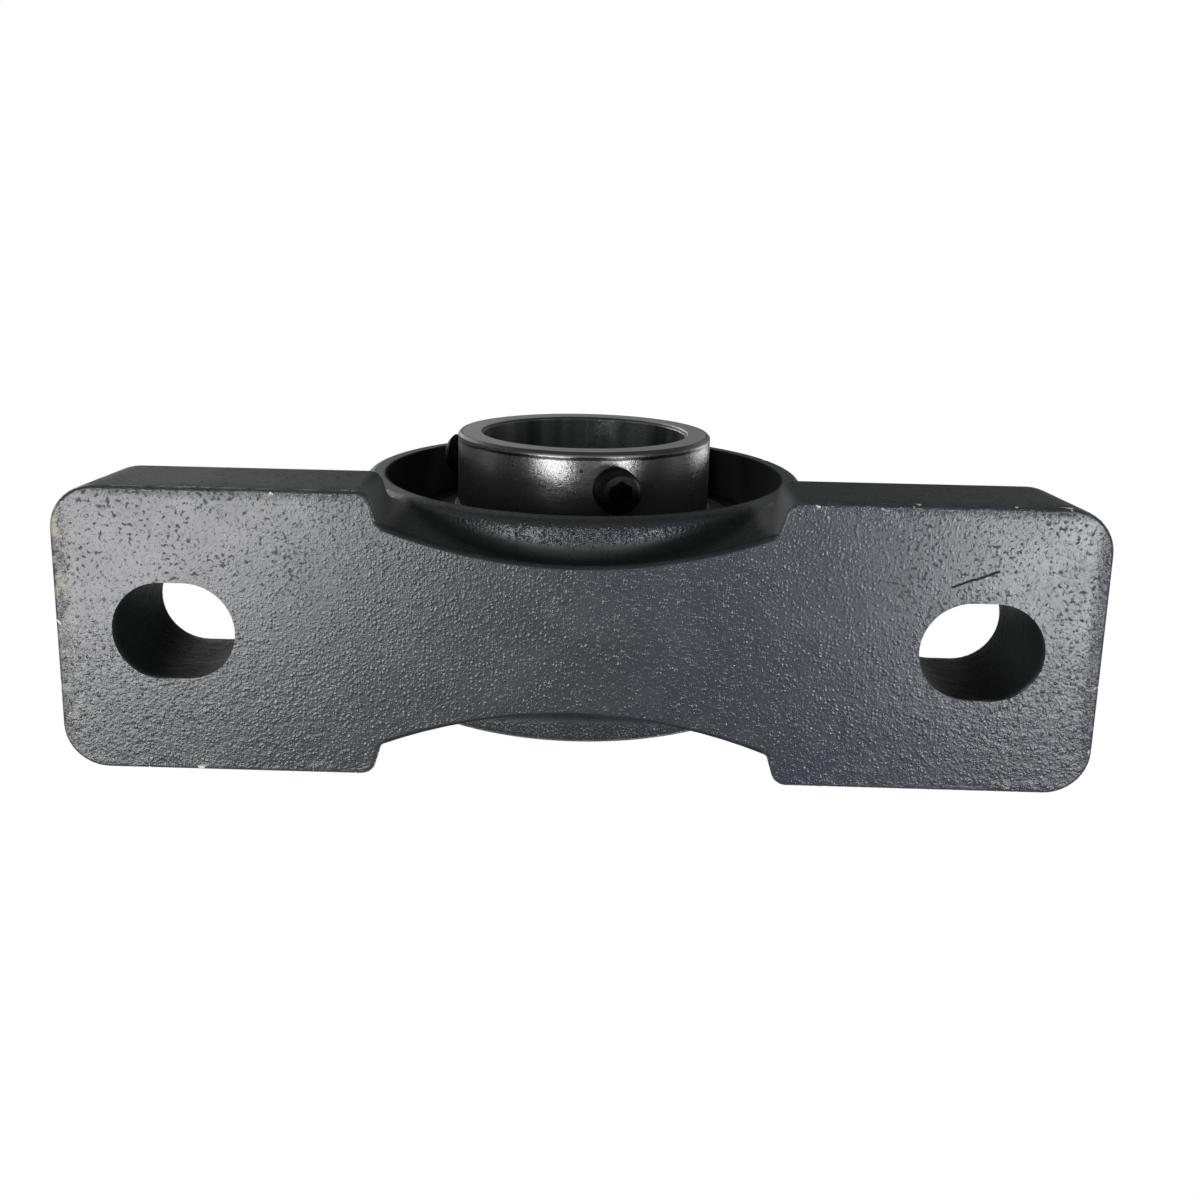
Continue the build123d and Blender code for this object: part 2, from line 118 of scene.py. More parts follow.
class Tree:
    """Short names for adding nodes to one material, group or world."""

    def __init__(self, tree):
        self.tree = tree

    def add(self, kind, **settings):
        node = self.tree.nodes.new("ShaderNode" + kind)
        for key, value in settings.items():
            setattr(node, key, value)
        return node

    def put(self, source, target):
        """Links a socket to a target socket, or sets the target to a plain value."""
        if isinstance(source, bpy.types.NodeSocket):
            self.tree.links.new(source, target)
        else:
            target.default_value = source

    def object_point(self):
        return self.add("TexCoord").outputs["Object"]

    def split(self, vector):
        node = self.add("SeparateXYZ")
        self.put(vector, node.inputs[0])
        return node.outputs["X"], node.outputs["Y"], node.outputs["Z"]

    def join(self, x, y=0.0):
        node = self.add("CombineXYZ")
        self.put(x, node.inputs["X"])
        self.put(y, node.inputs["Y"])
        return node.outputs[0]

    def math(self, operation, *values, clamp=False):
        node = self.add("Math", operation=operation, use_clamp=clamp)
        for value, socket in zip(values, node.inputs):
            self.put(value, socket)
        return node.outputs[0]

    def times(self, first, *others):
        for other in others:
            first = self.math("MULTIPLY", first, other)
        return first

    def times_plus(self, value, factor, rest, clamp=False):
        """Value times factor, plus the rest."""
        return self.math("MULTIPLY_ADD", value, factor, rest, clamp=clamp)

    def plus(self, a, b):
        return self.math("ADD", a, b)

    def minus(self, a, b):
        return self.math("SUBTRACT", a, b)

    def larger(self, first, *others):
        for other in others:
            first = self.math("MAXIMUM", first, other)
        return first

    def distance(self, value, place=0.0):
        """How far a value is from a place, on either side."""
        return self.math("ABSOLUTE", self.minus(value, place))

    def length(self, a, b):
        """Length of the flat vector a, b."""
        return self.math("SQRT", self.times_plus(a, a, self.times(b, b)))

    def ramp(self, value, low, high, to_low=0.0, to_high=1.0):
        """Runs a value from one range to another, with a soft start and end."""
        node = self.add("MapRange", interpolation_type="SMOOTHSTEP")
        for item, socket in zip((value, low, high, to_low, to_high), node.inputs):
            self.put(item, socket)
        return node.outputs["Result"]

    def blend(self, factor, a, b):
        """Mixes two colours: a where the factor is 0, b where it is 1."""
        node = self.add("Mix", data_type="RGBA")
        self.put(factor, node.inputs["Factor"])
        self.put(a, node.inputs[MIX_COLOUR_A])
        self.put(b, node.inputs[MIX_COLOUR_B])
        return node.outputs[MIX_COLOUR_RESULT]

    def noise(self, point, scale, detail, roughness):
        """Noise whose scale is in features per metre."""
        node = self.add("TexNoise")
        self.put(point, node.inputs["Vector"])
        self.put(scale, node.inputs["Scale"])
        node.inputs["Detail"].default_value = detail
        node.inputs["Roughness"].default_value = roughness
        return node.outputs["Fac"]

    def cells(self, point, scale):
        """Scattered cells: returns the distance from the cell's middle and the cell's own random value."""
        node = self.add("TexVoronoi", feature="F1")
        self.put(point, node.inputs["Vector"])
        self.put(scale, node.inputs["Scale"])
        return node.outputs["Distance"], self.split(node.outputs["Color"])[0]

    def drops(self, point, scale):
        """Round drops, one to a cell and each of its own height."""
        distance, own = self.cells(point, scale)
        return self.times(self.ramp(distance, 0.62, 0.0), self.ramp(own, 0.15, 1.0))

    def bump(self, height, depth):
        """The normal of a height map, where a height of 1 is that depth in metres."""
        node = self.add("Bump")
        self.put(height, node.inputs["Height"])
        node.inputs["Distance"].default_value = depth
        return node.outputs["Normal"]

    def group(self, name, **values):
        """Places a node group and sets or links its named inputs."""
        node = self.tree.nodes.new("ShaderNodeGroup")
        node.node_tree = bpy.data.node_groups[name]
        for label, value in values.items():
            self.put(value, node.inputs[label])
        return node.outputs


def start_group(name, inputs, outputs):
    """A new shader node group with named sockets: returns its tree, its inputs and its outputs."""
    group = bpy.data.node_groups.new(name, "ShaderNodeTree")
    for label, kind in inputs.items():
        group.interface.new_socket(label, in_out="INPUT", socket_type="NodeSocket" + kind)
    for label, kind in outputs.items():
        group.interface.new_socket(label, in_out="OUTPUT", socket_type="NodeSocket" + kind)
    entry = group.nodes.new("NodeGroupInput")
    leave = group.nodes.new("NodeGroupOutput")
    return Tree(group), entry.outputs, leave.inputs


def make_turning_lines():
    """Fine lines round the shaft's axis, as a lathe or a grinding wheel leaves them, in lines per metre."""
    t, given, result = start_group(
        "turning_lines", {"Point": "Vector", "Lines": "Float"}, {"Height": "Float", "Streak": "Float"})
    x, y, z = t.split(given["Point"])
    up = t.minus(z, SHAFT_Z)
    angle = t.math("ARCTAN2", x, up)
    across = t.times(t.plus(t.length(x, up), y), given["Lines"])
    t.put(t.noise(t.join(across, t.times(angle, 3.0)), 1.0, 4.0, 0.7), result["Height"])
    broad = t.join(t.times(across, 0.08), t.times(angle, 4.0))
    t.put(t.noise(broad, 1.0, 3.0, 0.6), result["Streak"])


def make_smudges():
    """Uneven patches of oil, dust or worn paint. Size is in patches per metre."""
    t, given, result = start_group(
        "smudges", {"Point": "Vector", "Size": "Float", "Share": "Float"}, {"Mask": "Float"})
    edge = t.minus(0.75, t.times(given["Share"], 0.5))
    patches = t.noise(given["Point"], given["Size"], 6.0, 0.65)
    t.put(t.ramp(patches, t.minus(edge, 0.08), t.plus(edge, 0.08)), result["Mask"])


def make_specks():
    """Small scattered spots, on a share of the cells. Size is in cells per metre."""
    t, given, result = start_group(
        "specks", {"Point": "Vector", "Size": "Float", "Share": "Float"}, {"Mask": "Float"})
    distance, own = t.cells(given["Point"], given["Size"])
    chosen = t.math("GREATER_THAN", given["Share"], own)
    t.put(t.times(chosen, t.ramp(distance, 0.28, 0.12)), result["Mask"])


# Painted casting

ENAMEL_GREENISH = (0.015, 0.020, 0.020, 1)
ENAMEL_BLUISH = (0.015, 0.018, 0.027, 1)
ENAMEL_MATT = (0.008, 0.011, 0.011, 1)
# Darker paint that stands for the shade in the pits.
PIT_SHADE = (0.006, 0.007, 0.008, 1)
ENAMEL_RUBBED = (0.24, 0.24, 0.16, 1)
ENAMEL_SCRATCH = (0.002, 0.002, 0.003, 1)
BARE_IRON = (0.55, 0.54, 0.44, 1)
# Near-black paint that stands for the shade in the creases, the slots and the mouth.
PAINTED_SHADE_BLACK = (0.003, 0.004, 0.004, 1)
DUST = (0.12, 0.12, 0.12, 1)

# Features per metre
DROPS_LARGE = 1250
DROPS_SMALL = 2300
PEEL_GRAIN = 1500
SWELL_GRAIN = 560
PIT_GRAIN = 1050
PIT_PATCHES = 85
SAND_GRAIN = 330
EDGE_DRIFT = 300
CHIP_GRAIN = 380
RUBBED_GRAIN = 260
TINT_PATCHES = 22
GLOSS_PATCHES = 90
DUST_PATCHES = 70.0

PEEL_DEPTH = 0.13 * MM
SAND_LAYERS = (0.5, 0.5, 1.8)  # sand marks lie flatter than they are high
SLOT_SAND = 7.0  # in peel depths
OUTLINE_SAND = 6.0
PIT_SINK = -0.16


class CastingMap:
    """Where a point of the casting lies, as distances in metres and as soft masks from 0 to 1."""

    def __init__(self, t):
        self.point = t.object_point()
        self.x, self.y, self.z = t.split(self.point)
        self.wide = t.distance(self.x)
        self.deep = t.distance(self.y)
        self.radius = t.length(self.x, t.minus(self.z, SHAFT_Z))
        waist = t.times_plus(t.times(self.x, self.x), WAIST_FLARE, WAIST_HALF_WIDTH)
        self.from_waist = t.minus(self.deep, waist)
        self.drift = t.noise(self.point, EDGE_DRIFT, 3.0, 0.6)
        self.under = t.ramp(t.times_plus(self.drift, 1.2 * MM, self.z), 1.6 * MM, 0.9 * MM)
        self.on_barrel = self.barrel(t)
        upper = t.ramp(self.z, FOOT_TOP - 3.5 * MM, FOOT_TOP + 1.5 * MM, 0.0, 0.55)
        self.smooth = t.larger(self.under, upper, self.on_barrel)
        self.pitted = t.times(
            t.ramp(self.wide, 30 * MM, 60 * MM), t.ramp(self.y, 10 * MM, -12 * MM), self.under)
        self.in_slot = self.slot(t)
        mouth = t.ramp(self.radius, MOUTH_RADIUS + 1.3 * MM, MOUTH_RADIUS + 0.1 * MM)
        self.in_mouth = t.times(mouth, t.ramp(self.z, 2 * MM, 4 * MM))
        self.waist_edge = t.times(
            t.ramp(t.distance(self.from_waist), 1.2 * MM, 0.6 * MM),
            t.ramp(self.z, 3.0 * MM, 1.5 * MM),
            t.ramp(self.wide, CORNER_X, CORNER_X - 2 * MM))
        # Painted shade: the creases, the waist edge, the slots and the mouth are masked here to be painted
        # near black.
        crease = t.larger(self.barrel_crease(t), self.waist_edge)
        hollows = t.times_plus(self.in_slot, 0.55, self.in_mouth)
        self.painted_shade = t.times_plus(crease, 0.5, hollows, clamp=True)

    def barrel(self, t):
        """The lower outside of the barrel, clear of the waist."""
        clear = t.larger(
            t.ramp(self.from_waist, 1.6 * MM, 4.0 * MM), t.ramp(self.z, FOOT_TOP, FOOT_TOP + 8 * MM))
        return t.times(
            t.ramp(self.radius, BARREL_RIM_RADIUS - 1.8 * MM, BARREL_RIM_RADIUS - 0.4 * MM),
            t.ramp(self.radius, BARREL_CROWN_RADIUS + 4.2 * MM, BARREL_CROWN_RADIUS + 1.2 * MM),
            t.ramp(self.deep, BARREL_HALF_WIDTH - 0.3 * MM, BARREL_HALF_WIDTH - 1.3 * MM),
            clear, t.ramp(self.z, 34 * MM, 20 * MM))

    def barrel_crease(self, t):
        """The corner where the barrel rises out of the waist."""
        return t.times(
            t.ramp(self.radius, BARREL_RIM_RADIUS - 2.4 * MM, BARREL_RIM_RADIUS - 0.4 * MM),
            t.ramp(self.from_waist, 4.0 * MM, 1.0 * MM),
            t.ramp(self.z, 1.2 * MM, 2.4 * MM),
            t.ramp(self.wide, CORNER_X + 2.5 * MM, CORNER_X - 5.5 * MM))

    def slot(self, t):
        """The walls of the bolt slots."""
        beside = t.larger(t.minus(t.distance(self.wide, SLOT_X), SLOT_HALF_RUN), 0.0)
        from_middle = t.length(beside, self.y)
        wall = t.ramp(from_middle, SLOT_RADIUS + 0.6 * MM, SLOT_RADIUS + 0.2 * MM)
        return t.times(wall, t.ramp(self.z, 0.8 * MM, 2.0 * MM))


def casting_pits(t, at):
    """Small pits, thickest towards the front of the feet."""
    patchy = t.times(t.minus(t.noise(at.point, PIT_PATCHES, 2.0, 0.5), 0.5), 0.35)
    pits = t.ramp(t.plus(t.noise(at.point, PIT_GRAIN, 1.0, 0.5), patchy), 0.59, 0.72)
    return t.times(pits, t.larger(at.pitted, t.times_plus(at.smooth, -0.5, 0.5)))


def casting_height(t, at, pits):
    """Orange peel on swelling ground, pits, and coarse sand marks in the slots and on the lower outline."""
    drops = t.times_plus(t.drops(at.point, DROPS_SMALL), 0.5, t.drops(at.point, DROPS_LARGE))
    fine = t.noise(at.point, PEEL_GRAIN, 2.0, 0.55)
    rear_feet = t.times(t.ramp(at.wide, 20 * MM, 60 * MM), t.ramp(at.y, -8 * MM, 18 * MM))
    swell = t.times(t.noise(at.point, SWELL_GRAIN, 2.0, 0.5), t.times_plus(rear_feet, 0.55, 0.35))
    peel = t.times_plus(drops, 0.75, t.times_plus(fine, 0.45, swell))
    calm = t.times_plus(at.pitted, -0.62, 1.0)
    height = t.times(peel, t.times_plus(at.on_barrel, 1.7, calm))
    height = t.times_plus(pits, PIT_SINK, height)

    layers = t.add("Mapping")
    t.put(at.point, layers.inputs["Vector"])
    layers.inputs["Scale"].default_value = SAND_LAYERS
    sand = t.minus(t.noise(layers.outputs[0], SAND_GRAIN, 5.0, 0.7), 0.5)
    outline = t.larger(
        t.ramp(at.wide, FOOT_END - 4.5 * MM, FOOT_END - 1.5 * MM),
        t.ramp(at.deep, FOOT_SIDE - 3.05 * MM, FOOT_SIDE - 0.75 * MM))
    outline = t.times(outline, t.ramp(at.z, 5 * MM, 2 * MM))
    sandy = t.times_plus(at.in_slot, SLOT_SAND, t.times(outline, OUTLINE_SAND))
    return t.plus(height, t.times(sandy, sand))


def casting_scratch(t, at):
    """A thin scratch beside the right slot."""
    along = t.times_plus(at.y, SCRATCH_RUN_Y, t.times(at.x, SCRATCH_RUN_X))
    across = t.minus(t.times(at.y, SCRATCH_RUN_X), t.times(at.x, SCRATCH_RUN_Y))
    across = t.times_plus(t.minus(at.drift, 0.5), 1.2 * MM, across)
    line = t.ramp(t.distance(across, SCRATCH_ACROSS), 0.34 * MM, 0.14 * MM)
    ends = t.ramp(t.distance(along, SCRATCH_ALONG), 5.4 * MM, 4.4 * MM)
    return t.times(line, ends, at.under)


def casting_chips(t, at):
    """Paint knocked off the lower outline."""
    end = t.ramp(at.wide, FOOT_END - 1.6 * MM, FOOT_END - 0.4 * MM)
    side = t.ramp(at.deep, FOOT_SIDE - 1.45 * MM, FOOT_SIDE - 0.25 * MM)
    rim = t.times(t.larger(end, side), t.ramp(at.z, 1.6 * MM, 0.6 * MM))
    return t.times(rim, t.ramp(t.noise(at.point, CHIP_GRAIN, 2.0, 0.5), 0.645, 0.675))


def casting_rubbed(t, at):
    """Paint rubbed thin along the left end."""
    left_end = t.times(
        t.ramp(at.x, 4.5 * MM - FOOT_END, 0.5 * MM - FOOT_END), t.ramp(at.z, 3 * MM, 1 * MM))
    return t.times(left_end, t.ramp(t.noise(at.point, RUBBED_GRAIN, 4.0, 0.65), 0.46, 0.62))


def casting_dust(t, at):
    """Dust in patches on the smooth faces and in the corners beside the waist."""
    patches = t.group("smudges", Point=at.point, Size=DUST_PATCHES, Share=0.4)["Mask"]
    corner = t.times(t.ramp(t.distance(at.wide, CORNER_X), 4.0 * MM, 1.5 * MM), 6.0)
    return t.times_plus(patches, at.smooth, t.times(corner, t.minus(1.0, at.smooth)))


def painted_casting():
    """Dark enamel over a sand casting: orange peel, pits and wear on the feet, chips on the edges, and
    painted shade in the creases, slots, mouth and pits.
    """
    material, shader = new_material("painted_casting")
    t = Tree(material.node_tree)
    at = CastingMap(t)
    pits = casting_pits(t, at)
    scratch = casting_scratch(t, at)

    greenish = t.ramp(t.noise(at.point, TINT_PATCHES, 2.0, 0.5), 0.40, 0.60)
    to_right = t.ramp(at.x, -15 * MM, 30 * MM)
    tint = t.times_plus(to_right, 0.75, t.times(greenish, 0.25))
    paint = t.blend(tint, ENAMEL_GREENISH, ENAMEL_BLUISH)
    paint = t.blend(at.smooth, ENAMEL_MATT, paint)
    # Painted shade: near black in the creases, along the waist edge, in the slots and in the mouth.
    paint = t.blend(at.painted_shade, paint, PAINTED_SHADE_BLACK)
    # Painted shade: the pits are darkened in colour as well as sunk by the bump.
    paint = t.blend(t.times(pits, 0.6), paint, PIT_SHADE)
    paint = t.blend(t.times(casting_dust(t, at), 0.06), paint, DUST)
    paint = t.blend(scratch, paint, ENAMEL_SCRATCH)
    paint = t.blend(t.times(casting_rubbed(t, at), 0.6), paint, ENAMEL_RUBBED)
    paint = t.blend(casting_chips(t, at), paint, BARE_IRON)

    rough = t.times_plus(t.noise(at.point, GLOSS_PATCHES, 3.0, 0.6), 0.10, 0.27)
    rough = t.times_plus(pits, 0.30, rough)
    rough = t.times_plus(at.smooth, -0.45, t.plus(rough, 0.45))
    rough = t.larger(rough, at.in_mouth, t.times(at.waist_edge, 0.9), t.times(scratch, 0.9))

    # The painted shade in the creases, along the waist edge, in the slots and in the mouth also takes away
    # nearly all shine, and the sides and the barrel shine less than the underside.
    dull = t.times_plus(at.on_barrel, 0.35, t.times_plus(at.smooth, -0.22, 0.22))
    t.put(paint, shader.inputs["Base Color"])
    t.put(rough, shader.inputs["Roughness"])
    t.put(t.larger(at.painted_shade, dull), shader.inputs["Metallic"])
    shader.inputs["IOR"].default_value = 1.5
    t.put(t.bump(casting_height(t, at, pits), PEEL_DEPTH), shader.inputs["Normal"])
    return material


# Steels, rubber and black oxide

SPECK = (0.012, 0.011, 0.010, 1)
RING_OUTSIDE = (0.155, 0.155, 0.153, 1)
RING_OUTSIDE_OILY = (0.075, 0.075, 0.073, 1)
RING_BORE_DARK = (0.06, 0.065, 0.065, 1)
RING_BORE_LIGHT = (0.26, 0.27, 0.27, 1)
RING_END = (0.35, 0.36, 0.35, 1)
RING_CHAMFER_SHADE = (0.050, 0.050, 0.050, 1)
BURR_SHADOW = (0.012, 0.012, 0.012, 1)

OIL_PATCHES = 45.0  # per metre
SPECK_CELLS = 330.0
RING_LINES = 2600.0
RING_GRAIN = 1100
RING_GRAIN_DEPTH = 0.01 * MM
BORE_BANDS = 2.6  # per radian
BURR_WAVES = 160
BURR_NICKS = 1100


def worked_marks(t, point, lines, oil, specks):
    """Lines round the shaft, the tone they and the oil give, and dark specks."""
    marks = t.group("turning_lines", Point=point, Lines=lines)
    smudge = t.group("smudges", Point=point, Size=OIL_PATCHES, Share=oil)["Mask"]
    speck = t.group("specks", Point=point, Size=SPECK_CELLS, Share=specks)["Mask"]
    shade = t.times_plus(marks["Streak"], 0.6, t.times(smudge, 0.4))
    return marks, smudge, speck, shade


def steel(name, colour, oily, roughness, lines, line_depth, oil=0.4, specks=0.0):
    """Worked steel with lines round the shaft, oily patches and a few dark specks."""
    material, shader = new_material(name)
    t = Tree(material.node_tree)
    marks, smudge, speck, shade = worked_marks(t, t.object_point(), lines, oil, specks)
    tone = t.blend(speck, t.blend(shade, colour, oily), SPECK)
    rough = t.times_plus(marks["Streak"], 0.16, roughness - 0.08)
    rough = t.times_plus(smudge, 0.06, rough)
    t.put(tone, shader.inputs["Base Color"])
    t.put(t.times_plus(speck, 0.4, rough), shader.inputs["Roughness"])
    t.put(t.bump(marks["Height"], line_depth), shader.inputs["Normal"])
    shader.inputs["Metallic"].default_value = 1.0
    return material


def ring_steel():
    """Ground inner ring: oiled and dark outside, brighter on the turned ends and in the polished bore."""
    material, shader = new_material("ring_steel")
    t = Tree(material.node_tree)
    point = t.object_point()
    x, y, z = t.split(point)
    up = t.minus(z, SHAFT_Z)
    radius = t.length(x, up)
    marks, smudge, speck, shade = worked_marks(t, point, RING_LINES, oil=0.4, specks=0.03)

    in_bore = t.ramp(radius, BORE_RADIUS + 1.2 * MM, BORE_RADIUS + 0.4 * MM)
    past_bore = t.ramp(radius, BORE_RADIUS + 0.03 * MM, BORE_RADIUS + 0.20 * MM)
    on_end = t.larger(
        t.ramp(y, RING_FRONT + 0.3 * MM, RING_FRONT + 0.1 * MM),
        t.ramp(y, RING_REAR - 0.3 * MM, RING_REAR - 0.1 * MM))
    on_end = t.times(on_end, past_bore)
    on_rim = t.times(
        t.ramp(radius, RING_RADIUS - 1.25 * MM, RING_RADIUS - 0.65 * MM),
        t.ramp(y, RING_FRONT + 1.2 * MM, RING_FRONT + 0.7 * MM))
    on_chamfer = t.times(
        past_bore, t.ramp(radius, BORE_RADIUS + 1.2 * MM, BORE_RADIUS + 0.9 * MM), t.minus(1.0, on_end))

    # The hone leaves bands along the bore; the lathe leaves a raised edge just under the front end face,
    # whose shadow is painted as a dark wavy line.
    sweep = t.join(t.times(t.math("ARCTAN2", x, up), BORE_BANDS))
    bands = t.ramp(t.noise(sweep, 1.0, 2.0, 0.5), 0.35, 0.65)
    wavy = t.times_plus(t.noise(point, BURR_WAVES, 2.0, 0.5), 0.6 * MM, y)
    wavy = t.times_plus(t.noise(point, BURR_NICKS, 2.0, 0.6), 0.4 * MM, wavy)
    painted_burr_shadow = t.times(
        t.ramp(t.distance(wavy, BURR_Y), 0.45 * MM, 0.25 * MM),
        t.ramp(radius, RING_RADIUS - 1.25 * MM, RING_RADIUS - 0.45 * MM))

    outside = t.blend(shade, RING_OUTSIDE, RING_OUTSIDE_OILY)
    tone = t.blend(in_bore, outside, t.blend(bands, RING_BORE_DARK, RING_BORE_LIGHT))
    tone = t.blend(on_end, tone, RING_END)
    tone = t.blend(speck, tone, SPECK)
    tone = t.blend(painted_burr_shadow, tone, BURR_SHADOW)
    # Painted shade on the rim round at the front and on the bore chamfer.
    tone = t.blend(t.larger(on_rim, on_chamfer), tone, RING_CHAMFER_SHADE)

    grain = t.noise(point, RING_GRAIN, 4.0, 0.7)
    rough = t.times_plus(marks["Streak"], 0.14, 0.16)
    rough = t.times_plus(smudge, 0.05, rough)
    rough = t.times_plus(t.larger(on_end, on_rim), 0.25, rough)
    rough = t.times_plus(on_chamfer, 0.30, rough)
    rough = t.times_plus(t.minus(grain, 0.5), 0.20, rough)
    height = t.times_plus(grain, 6.5, t.times(marks["Height"], 1.6))
    t.put(tone, shader.inputs["Base Color"])
    t.put(t.times_plus(speck, 0.4, rough), shader.inputs["Roughness"])
    t.put(t.bump(height, RING_GRAIN_DEPTH), shader.inputs["Normal"])
    shader.inputs["Metallic"].default_value = 0.8
    return material


def moulded_rubber():
    """Black rubber with a film of grease."""
    material, shader = new_material("moulded_rubber")
    t = Tree(material.node_tree)
    point = t.object_point()
    grease = t.group("smudges", Point=point, Size=120.0, Share=0.5)["Mask"]
    t.put(t.blend(grease, (0.018, 0.018, 0.019, 1), (0.040, 0.038, 0.034, 1)), shader.inputs["Base Color"])
    t.put(t.times_plus(grease, -0.25, 0.62), shader.inputs["Roughness"])
    t.put(t.bump(t.noise(point, 3000, 2.0, 0.5), 0.05 * MM), shader.inputs["Normal"])
    return material


def black_oxide():
    """Blackened steel, worn a little lighter in places."""
    material, shader = new_material("black_oxide")
    t = Tree(material.node_tree)
    point = t.object_point()
    worn = t.group("smudges", Point=point, Size=500.0, Share=0.35)["Mask"]
    t.put(t.blend(worn, (0.001, 0.001, 0.001, 1), (0.006, 0.006, 0.006, 1)), shader.inputs["Base Color"])
    t.put(t.times_plus(worn, 0.15, 0.42), shader.inputs["Roughness"])
    t.put(t.bump(t.noise(point, 2500, 3.0, 0.6), 0.04 * MM), shader.inputs["Normal"])
    shader.inputs["Specular IOR Level"].default_value = 0.12
    return material


make_turning_lines()
make_smudges()
make_specks()
CASTING = painted_casting()
RING = ring_steel()
GROUND = steel(
    "ground_steel", (0.15, 0.15, 0.148, 1), (0.09, 0.09, 0.088, 1),
    roughness=0.24, lines=RING_LINES, line_depth=0.01 * MM, specks=0.03)
# Painted shade: the seal cores and flingers sit deep in the housing's mouth, and their steel is given a
# darker colour for the shade there.
PRESSED_STEEL_SHADED = steel(
    "pressed_steel", (0.080, 0.084, 0.082, 1), (0.035, 0.037, 0.036, 1),
    roughness=0.36, lines=900.0, line_depth=0.02 * MM, oil=0.5, specks=0.02)
POLISHED = steel(
    "polished_steel", (0.60, 0.60, 0.61, 1), (0.42, 0.42, 0.43, 1),
    roughness=0.12, lines=3000.0, line_depth=0.004 * MM)
CAGE = steel(
    "cage_steel", (0.34, 0.33, 0.31, 1), (0.18, 0.175, 0.16, 1),
    roughness=0.38, lines=700.0, line_depth=0.02 * MM)
ZINC = steel(
    "zinc_plate", (0.55, 0.54, 0.50, 1), (0.32, 0.31, 0.28, 1),
    roughness=0.30, lines=1800.0, line_depth=0.01 * MM, oil=0.5, specks=0.02)
RUBBER = moulded_rubber()
BLACK = black_oxide()

BALLS = [f"ball_{number:02d}" for number in range(1, 11)]
FINISHES = (
    (CASTING, ["housing"]),
    (RING, ["inner_ring"]),
    (GROUND, ["outer_ring"]),
    (CAGE, ["cage_front", "cage_rear", "cage_rivets"]),
    (RUBBER, ["seal_front", "seal_rear"]),
    (PRESSED_STEEL_SHADED, ["seal_core_front", "seal_core_rear", "flinger_front", "flinger_rear"]),
    (ZINC, ["grease_nipple", "nipple_spring"]),
    (POLISHED, ["nipple_check_ball"] + BALLS),
    (BLACK, ["set_screw_1", "set_screw_2"]),
)
for finish, nodes in FINISHES:
    for node in nodes:
        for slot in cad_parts[node].material_slots:
            slot.material = finish


# Set screws

def threaded_bar(form):
    """Helical thread, a little longer than the screw, cut off square at both ends."""
    corners = []
    for turn in range(SCREW_TURNS + 1):
        foot = (turn - THREAD_START) * SCREW_PITCH
        for radius, rise in THREAD_PROFILE:
            corners.append(form.verts.new((radius, 0, foot + rise * SCREW_PITCH)))
    chain = [form.edges.new(pair) for pair in zip(corners, corners[1:])]
    bmesh.ops.spin(form, geom=corners + chain, cent=(0, 0, 0), axis=(0, 0, 1), angle=math.tau,
                   dvec=(0, 0, SCREW_PITCH / SCREW_STEPS), steps=SCREW_STEPS, use_merge=False)
    bmesh.ops.remove_doubles(form, verts=form.verts, dist=0.001 * MM)
    for height, outward in ((0.0, -1), (SCREW_LENGTH, 1)):
        bmesh.ops.bisect_plane(form, geom=form.verts[:] + form.edges[:] + form.faces[:], dist=0.0001 * MM,
                               plane_co=(0, 0, height), plane_no=(0, 0, outward), clear_outer=True)
    # The first and last threads run out in a short taper.
    for vert in form.verts:
        reach = math.hypot(vert.co.x, vert.co.y)
        allowed = SCREW_ROOT - END_TAPER + min(vert.co.z, SCREW_LENGTH - vert.co.z)
        if reach > allowed:
            vert.co.x *= allowed / reach
            vert.co.y *= allowed / reach


def level_loop(form, height):
    """The open edges that lie at one height."""
    return [edge for edge in form.edges
            if edge.is_boundary and all(abs(vert.co.z - height) < 0.01 * MM for vert in edge.verts)]


def sink_loop(form, rim, segments, radius, depth, spread=1.0):
    """Joins a rim to a smaller loop in the same plane, sinks that loop and closes it with a floor."""
    height = rim[0].verts[0].co.z
    loop = bmesh.ops.create_circle(form, segments=segments, radius=radius)["verts"]
    bmesh.ops.translate(form, verts=loop, vec=(0, 0, height))
    edges = list(dict.fromkeys(edge for vert in loop for edge in vert.link_edges))
    edges = bmesh.ops.subdivide_edges(form, edges=edges, cuts=SCREW_STEPS // segments - 1)["geom_split"]
    edges = [item for item in edges if isinstance(item, bmesh.types.BMEdge)]
    bmesh.ops.bridge_loops(form, edges=rim + edges)
    sunk = bmesh.ops.extrude_edge_only(form, edges=edges)["geom"]
    verts = [item for item in sunk if isinstance(item, bmesh.types.BMVert)]
    bmesh.ops.translate(form, verts=verts, vec=(0, 0, depth))
    bmesh.ops.scale(form, verts=verts, vec=(spread, spread, 1))
    bmesh.ops.contextual_create(form, geom=[item for item in sunk if isinstance(item, bmesh.types.BMEdge)])


def make_set_screw(number, angle):
    """Cup point screw with a hexagon socket, made tip down at the origin and then put in its hole."""
    name = f"set_screw_{number}"
    form = bmesh.new()
    threaded_bar(form)
    sink_loop(form, level_loop(form, SCREW_LENGTH), 6, SOCKET_RADIUS, -SOCKET_DEPTH)
    sink_loop(form, level_loop(form, 0.0), 24, CUP_RADIUS, CUP_DEPTH, CUP_FLOOR)
    bmesh.ops.recalc_face_normals(form, faces=form.faces)
    hang = Matrix.Translation((0, SCREW_Y, -SCREW_TIP)) @ Matrix.Rotation(math.pi, 4, "X")
    turn = Matrix.Translation((0, 0, SHAFT_Z)) @ Matrix.Rotation(-math.radians(angle), 4, "Y")
    bmesh.ops.transform(form, matrix=turn @ hang, verts=form.verts)
    mesh = bpy.data.meshes.new(f"threaded_{name}")
    form.to_mesh(mesh)
    form.free()
    mesh.materials.append(BLACK)
    screw = bpy.data.objects.new(f"threaded_{name}", mesh)
    scene.collection.objects.link(screw)
    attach(screw, name)
    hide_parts(name)


for number, angle in SCREW_ANGLES.items():
    make_set_screw(number, angle)


# Studio

